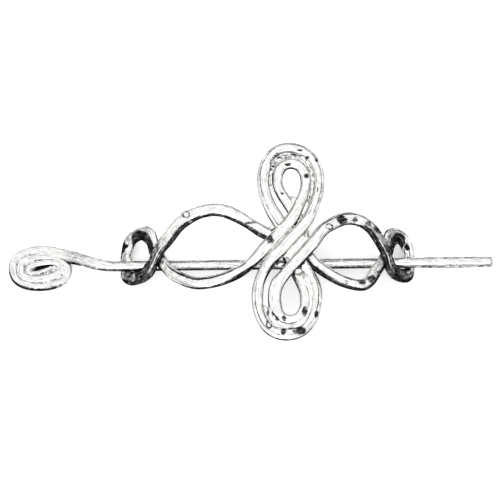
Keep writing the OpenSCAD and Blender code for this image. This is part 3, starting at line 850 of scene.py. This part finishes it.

# %% [markdown]
# ## Where the stick is dark, and where shade is painted on it
# The shank is bright on top. Its underside and its far edge are darker, and that is painted shade, as a
# polished round rod shows it below and towards the back; the rounded tip is a little darker too. On the
# head the black stays in the seam between the turns, and painted shade darkens the steep rim at the left and
# in front. All of it is uneven, so noise along the wire breaks up each line.

# %% Dark of the stick
# How dark the painted shade on the walls and the underside is along the stick, as rows of [x, dark]
UNDER_DARK = [[-75, 1], [-62, 1], [-60.5, 0.5], [-57.3, 0.5], [-56.6, 1], [-53, 0.7], [-47, 0.85],
              [-40, 0.95], [15, 0.9], [27, 0.75], [40, 0.66], [53, 0.6]]
# Degrees of coiling over which the rim's painted shade comes and goes, and where it thins on the lower wall
RIM_FROM, RIM_TO, THIN_FROM, ONE_TURN = (95, 135), (225, 275), (235, 285), 360
ON_HEAD, SOFT_EDGE = 0.98, 0.12
# The far edge and the rim are painted shade, the tip is a little darker, and the seam is the dark joint
# between the turns.
FAR_EDGE_DARK, TIP_DARK, SEAM_DARK, RIM_DARK, RIM_THINNED = 0.5, 0.42, 0.36, 0.85, 0.35
# How high the painted shade reaches on the walls, as shares of half the thickness
SHANK_WALL, NECK_HIGHER, HEAD_WALL, RIM_HIGHER = 0.6, 0.2, 0.8, 0.12
in_coil = np.concatenate([np.zeros(straight + NECK_POINTS), turned[1:]])
rim = smooth(in_coil, *RIM_FROM) * (1 - smooth(in_coil, *RIM_TO))
wall_top = np.where(flat > ON_HEAD, HEAD_WALL + RIM_HIGHER * rim,
                    SHANK_WALL + NECK_HIGHER * smooth(flat, 0.3, 0.9))[:, None]
under = np.interp(stick_line[:, 0], *np.array(UNDER_DARK).T)[:, None]
rim_uneven = lumps_along(distance, 0.8, 2.0) + 0.7 * lumps_along(distance, 2.2, 4.0)
seam_uneven = lumps_along(distance, 0.5, 7.0)

walls = under * (1 - smooth(height, wall_top - SOFT_EDGE, wall_top + SOFT_EDGE))
thin_rim = smooth(in_coil, *THIN_FROM)[:, None] * (in_coil < ONE_TURN)[:, None]
walls = walls * (1 - RIM_THINNED * thin_rim * (0.5 + rim_uneven))
far_edge = (FAR_EDGE_DARK * smooth(across, -0.3, 0.5) * (1 - smooth(height, 0.97, 1.0))
            * (1 - smooth(flat, 0.05, 0.4))[:, None])
tip_edge = TIP_DARK * (np.arange(len(stick_line)) < len(tip_x) - 2)[:, None] + 0 * across
rim_edge = (RIM_DARK + 0.7 * rim_uneven) * rim[:, None] * smooth(across, 0.6, 0.8)
seam = (smooth(np.abs(across), 0.78, 0.95) * (flat[:, None] > ON_HEAD) * (sz > 0)
        * (SEAM_DARK + 0.35 * seam_uneven))
stick_tarnish_and_shade = np.maximum.reduce([walls, far_edge, tip_edge, rim_edge, seam])
stick_tube = tube("stick_wire", stick_rings, stick_tarnish_and_shade)
print("dark share of the stick", round(float((stick_tarnish_and_shade > 0.5).mean()), 2))

# %% [markdown]
# ## The closed spiral
# The hammer closed the spiral's turns against each other, so no light passes between them. A thin
# plate inside the outer turn stands for the metal that was squeezed into the gaps. It sinks to a
# leaning slit in the middle, where the wire's end was tucked in, and a small fill closes the notch
# where the outer turn meets the neck.

# %% Plate with a slit, and the fill
PLATE_TOP, PLATE_UNDER, SLIT_FLOOR = 1.38, 0.2, 0.5
SLIT_RIM, SLIT_STEP, SLIT_FOOT = (2.9, 1.2), (2.4, 0.85), (2.2, 0.65)      # half length, half width
# The slit's walls and floor are painted dark as shade in the recess. The plate's top, seen between the
# turns, is the dark of the seams.
PLATE_DARK_AND_SLIT_SHADE = [1, 0.42, 0.56, 0.9, 1.0]       # from its underside to the floor of the slit
around = np.arange(0, 360, 6.0)
plate_rim = coil_point(around)
head_middle = np.array([HEAD_X + 0.4, HEAD_Y + 0.45])


def slit(half_long, half_wide):
    a, lean = np.radians(HEAD_START + around), math.radians(SLIT_LEAN)
    u, v = half_long * np.cos(a), half_wide * np.sin(a)
    return head_middle + np.stack([u * math.cos(lean) - v * math.sin(lean),
                                   u * math.sin(lean) + v * math.cos(lean)], -1)


def at_height(plan, z):
    return np.column_stack([plan + SHIFT[:2], np.full(len(plan), z)])


plate_rings = np.array([
    at_height(plate_rim, PLATE_UNDER), at_height(plate_rim, PLATE_TOP),
    at_height(slit(*SLIT_RIM), PLATE_TOP), at_height(slit(*SLIT_STEP), PLATE_TOP),
    at_height(slit(*SLIT_FOOT), SLIT_FLOOR)])
plate = tube("plate", plate_rings, np.repeat(np.array(PLATE_DARK_AND_SLIT_SHADE)[:, None], len(plate_rim), 1))
# The fill is a drop too, with a little painted shade round its waist.
fill = drop("fill", x=-58.2, y=2.0, z=0.8, half_x=1.6, half_y=0.8, half_z=0.66, dark=0.3)
stick = union("stick", [stick_tube, plate, fill])
shade(stick)
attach(stick, "stick")
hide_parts("stick_pin")

# %% [markdown]
# ## Polished and blackened silver plate
# The real metal is a white alloy with a thin plate of silver, blackened in a dip and polished on a
# wheel. Silver reflects nearly all light and hardly tints it, so its colour is a nearly neutral white
# and its roughness is low where it is polished. The black is silver sulphide: a thin dark skin that is
# rougher and reflects little. One material mixes the two by the tarnish and painted shade stored on the
# mesh, so the black, painted shade included, keeps its place when the brooch is turned. Noise makes the
# border ragged, as a wheel does.

# %% Colours and one way to add a node
def to_linear(hex_colour):
    """An sRGB hex colour as linear RGBA."""
    channels = [int(hex_colour[i:i + 2], 16) / 255 for i in (1, 3, 5)]
    return [c / 12.92 if c <= 0.04045 else ((c + 0.055) / 1.055) ** 2.4 for c in channels] + [1.0]


def add_node(tree, kind, settings, links):
    """A node with its settings. A link is a value, or the output socket that feeds the input."""
    made = tree.nodes.new(kind)
    for key, value in settings.items():
        setattr(made, key, value)
    for key, value in links.items():
        if isinstance(value, bpy.types.NodeSocket):
            tree.links.new(value, made.inputs[key])
        else:
            made.inputs[key].default_value = value
    return made


# %% What each colour gives the eye, and the sizes of the wear in millimetres
SILVER = to_linear("#ECEBE8")            # the bright face: near white, and a soft mirror
HAZE = to_linear("#A2A2A4")              # grey streaks, where the wheel's scratches scatter the light
# The same black also serves as painted shade and painted dark reflection on the walls, the undersides and
# the ridge lines.
SULPHIDE = to_linear("#121214")          # the full black of walls, pits and lines
WORN_SULPHIDE = to_linear("#747477")     # pencil grey, where the black is half rubbed off
MATT = 0.42                              # roughness of the black skin
# Real scratches and specks are a few hundredths of a millimetre, and a pixel of the picture covers
# 0.26 mm, so they are drawn about ten times as coarse, just enough to show.
SCRATCH, RUBBED, SPECK = 0.3, 0.35, 0.35
PATCH, HAZE_PATCH, DIMPLE = 1.2, 1.6, 0.6    # these are as large as on the real brooch
DRAWN = 0.1                              # a streak along the wire is ten times as long as wide
DIMPLE_DEPTH, DIMPLE_STRENGTH = 0.14, 0.7


def blackened_silver_and_shade(name, polish, haze_from, haze_share, speckle):
    """Polish is the roughness of the bright face. The last three say how hazy and speckled it is."""
    material = bpy.data.materials.new(name)
    material.use_nodes = True
    tree = material.node_tree
    tree.nodes.clear()

    def cloud(where, millimetres, low, high, to_low, to_high):
        """Noise with lumps of that size, stretched so that low to high fills the wanted range."""
        lumps = add_node(tree, "ShaderNodeTexNoise", {}, {
            "Vector": where, "Scale": 1 / millimetres, "Detail": 3.0, "Roughness": 0.6}).outputs["Fac"]
        return add_node(tree, "ShaderNodeMapRange", {}, {
            "Value": lumps, "From Min": low, "From Max": high,
            "To Min": to_low, "To Max": to_high}).outputs["Result"]

    place = add_node(tree, "ShaderNodeMapping", {}, {
        "Vector": add_node(tree, "ShaderNodeTexCoord", {}, {}).outputs["Object"],
        "Scale": (1 / MM, 1 / MM, 1 / MM)}).outputs["Vector"]
    grain = add_node(tree, "ShaderNodeAttribute", {"attribute_name": "grain"}, {}).outputs["Vector"]
    drawn = add_node(tree, "ShaderNodeMapping", {}, {
        "Vector": grain, "Scale": (DRAWN, 1, 1)}).outputs["Vector"]
    dark = add_node(tree, "ShaderNodeAttribute", {"attribute_name": "tarnish_and_shade"}, {}).outputs["Fac"]

    # The border of the black, ragged by patches, specks and scratches
    add, mix, ragged = {"operation": "ADD"}, {"data_type": "RGBA"}, dark
    for where, millimetres, most in ((place, PATCH, 0.24), (place, SPECK, 0.26), (drawn, SCRATCH, 0.3)):
        wear = cloud(where, millimetres, 0.25, 0.75, -most, most)
        ragged = add_node(tree, "ShaderNodeMath", add, {0: ragged, 1: wear}).outputs["Value"]
    amount = add_node(tree, "ShaderNodeMapRange", {"interpolation_type": "SMOOTHSTEP"}, {
        "Value": ragged, "From Min": 0.3, "From Max": 0.8, "To Min": 0.0, "To Max": 1.0}).outputs["Result"]
    # The bright metal with its haze
    hazy = cloud(drawn, SCRATCH, haze_from, haze_from + 0.2, 0.0, haze_share)
    for millimetres, low, most in ((HAZE_PATCH, 0.4, haze_share / 3), (SPECK, 0.45, speckle)):
        veil = cloud(place, millimetres, low, 0.7, 0.0, most)
        hazy = add_node(tree, "ShaderNodeMath", add, {0: hazy, 1: veil}).outputs["Value"]
    bright = add_node(tree, "ShaderNodeMix", mix, {0: hazy, 6: SILVER, 7: HAZE}).outputs[2]
    # The black, rubbed to grey near its border and in streaks
    near_border = add_node(tree, "ShaderNodeMapRange", {}, {
        "Value": ragged, "From Min": 0.92, "From Max": 0.6, "To Min": 0.0, "To Max": 0.85}).outputs["Result"]
    rubbed = add_node(tree, "ShaderNodeMath", add, {
        0: near_border, 1: cloud(drawn, RUBBED, 0.5, 0.76, 0.0, 0.6)}).outputs["Value"]
    black = add_node(tree, "ShaderNodeMix", mix, {0: rubbed, 6: SULPHIDE, 7: WORN_SULPHIDE}).outputs[2]
    rough = add_node(tree, "ShaderNodeMapRange", {}, {
        "Value": amount, "To Min": polish, "To Max": MATT}).outputs["Result"]
    bump = add_node(tree, "ShaderNodeBump", {}, {
        "Strength": DIMPLE_STRENGTH, "Distance": DIMPLE_DEPTH * MM,
        "Height": cloud(place, DIMPLE, 0.0, 1.0, 0.0, 1.0)}).outputs["Normal"]
    shader = add_node(tree, "ShaderNodeBsdfPrincipled", {}, {
        "Base Color": add_node(tree, "ShaderNodeMix", mix, {0: amount, 6: bright, 7: black}).outputs[2],
        "Specular Tint": add_node(tree, "ShaderNodeMix", mix, {
            0: amount, 6: SILVER, 7: SULPHIDE}).outputs[2],
        "Metallic": 1.0, "Roughness": rough, "Normal": bump})
    add_node(tree, "ShaderNodeOutputMaterial", {}, {"Surface": shader.outputs["BSDF"]})
    print(name, "has", len(tree.nodes), "nodes")
    return material


# %% The two finishes
# The knot is brighter and cleaner. The stick's streaks start sooner and it has more specks, because
# it slides through the cloth and the rings.
knot.data.materials.clear()
knot.data.materials.append(blackened_silver_and_shade(
    "hammered blackened silver plate with painted shade", polish=0.16, haze_from=0.48, haze_share=0.75, speckle=0.15))
stick.data.materials.clear()
stick.data.materials.append(blackened_silver_and_shade(
    "polished blackened silver plate with painted shade", polish=0.16, haze_from=0.41, haze_share=0.62, speckle=0.35))

# %% [markdown]
# ## Floor
# The photograph is a product shot on white paper. Paper is matt and has no highlights of its own. In
# the photograph it is burnt out to white, so a faint glow keeps it from going grey and leaves only a
# soft shadow below the brooch.

# %% Floor
PAPER_GLOW = 0.32
bpy.ops.mesh.primitive_plane_add(size=2.0)
floor = bpy.context.object
floor.name = "floor"
paper = bpy.data.materials.new("white paper")
paper.use_nodes = True
paper_shader = paper.node_tree.nodes["Principled BSDF"]
for socket, value in (("Base Color", to_linear("#F8F8F7")), ("Roughness", 0.9),
                      ("Emission Color", to_linear("#FFFFFF")), ("Emission Strength", PAPER_GLOW)):
    paper_shader.inputs[socket].default_value = value
floor.data.materials.append(paper)
print("floor of", round(floor.dimensions.x, 1), "m")

# %% [markdown]
# ## Light
# Polished metal shows what stands around it, so the light is drawn for its reflection. The sky is dark
# near the horizon, which gives the steep bevels crisp dark outlines, and bright from half way up,
# which fills the faces with an even white. One large soft lamp in front adds a gentle direction.

# %% The sky: rows of [sine of the elevation, brightness]
SKY = [(0, 0.15), (0.15, 0.25), (0.32, 0.8), (0.5, 1.25), (0.65, 1.45), (0.82, 1.4), (1, 1.5)]
BRIGHTEST = 1.5
world = bpy.data.worlds.new("studio")
bpy.context.scene.world = world
world.use_nodes = True
sky_tree = world.node_tree
sky_tree.nodes.clear()
direction = add_node(sky_tree, "ShaderNodeSeparateXYZ", {}, {
    "Vector": add_node(sky_tree, "ShaderNodeTexCoord", {}, {}).outputs["Generated"]})
ramp = add_node(sky_tree, "ShaderNodeValToRGB", {}, {"Fac": direction.outputs["Z"]})
while len(ramp.color_ramp.elements) < len(SKY):
    ramp.color_ramp.elements.new(0.5)
for element, (at, level) in zip(ramp.color_ramp.elements, SKY):
    element.position, element.color = at, (level / BRIGHTEST,) * 3 + (1,)
sky = add_node(sky_tree, "ShaderNodeBackground", {}, {
    "Color": ramp.outputs["Color"], "Strength": BRIGHTEST})
add_node(sky_tree, "ShaderNodeOutputWorld", {}, {"Surface": sky.outputs["Background"]})
print("sky with", len(SKY), "stops")

# %% The lamp in front
LAMP_PLACE, LAMP_TARGET, LAMP_SIZE, LAMP_POWER = (-0.12, -0.4, 0.5), (0, 0, 0.01), 0.45, 1.2
lamp = bpy.data.lights.new("front", "AREA")
lamp.shape, lamp.size, lamp.energy = "DISK", LAMP_SIZE, LAMP_POWER
softbox = bpy.data.objects.new("front", lamp)
softbox.location = LAMP_PLACE
softbox.rotation_mode = "QUATERNION"
softbox.rotation_quaternion = (Vector(LAMP_TARGET) - Vector(LAMP_PLACE)).to_track_quat("-Z", "Y")
bpy.context.scene.collection.objects.link(softbox)
print("lamp of", LAMP_POWER, "W,", round(Vector(LAMP_PLACE).length, 2), "m away")

# %% [markdown]
# ## Camera
# The brooch was photographed from the front, about 65 degrees above the table. The two halves of it
# are drawn at the same size, so the lens was long and far away. Its distance follows from the stick,
# which is 126 mm long on the table and 484 pixels long in the photograph.

# %% Camera
PIXEL, FRAME_PIXELS = 0.26, 500          # a pixel at the stick in millimetres, and pixels a side
LENS, SENSOR, ELEVATION, ROLL = 400.0, 36.0, 65.0, 0.7
AIM_X, AIM_Y = -0.26, -2.29
elevation = math.radians(ELEVATION)
back = Vector((0, -math.cos(elevation), math.sin(elevation)))
aim = Vector((AIM_X, AIM_Y, KNOT_Z)) * MM
reach = FRAME_PIXELS * PIXEL * MM / (SENSOR / LENS)
reach -= (KNOT_Z - shank_z) * math.sin(elevation) * MM      # the stick lies below the point aimed at
camera = bpy.data.objects.new("camera", bpy.data.cameras.new("camera"))
bpy.context.scene.collection.objects.link(camera)
camera.data.lens, camera.data.sensor_width = LENS, SENSOR
camera.data.clip_start, camera.data.clip_end = 0.1, 10
camera.location = aim + back * reach
camera.rotation_mode = "QUATERNION"
camera.rotation_quaternion = (
    (-back).to_track_quat("-Z", "Y") @ Quaternion((0, 0, 1), math.radians(-ROLL)))
bpy.context.scene.camera = camera
bpy.context.scene.view_settings.view_transform = "Standard"
bpy.context.scene.view_settings.look = "None"
print("camera", round(reach, 3), "m away, at", [round(v, 3) for v in camera.location])
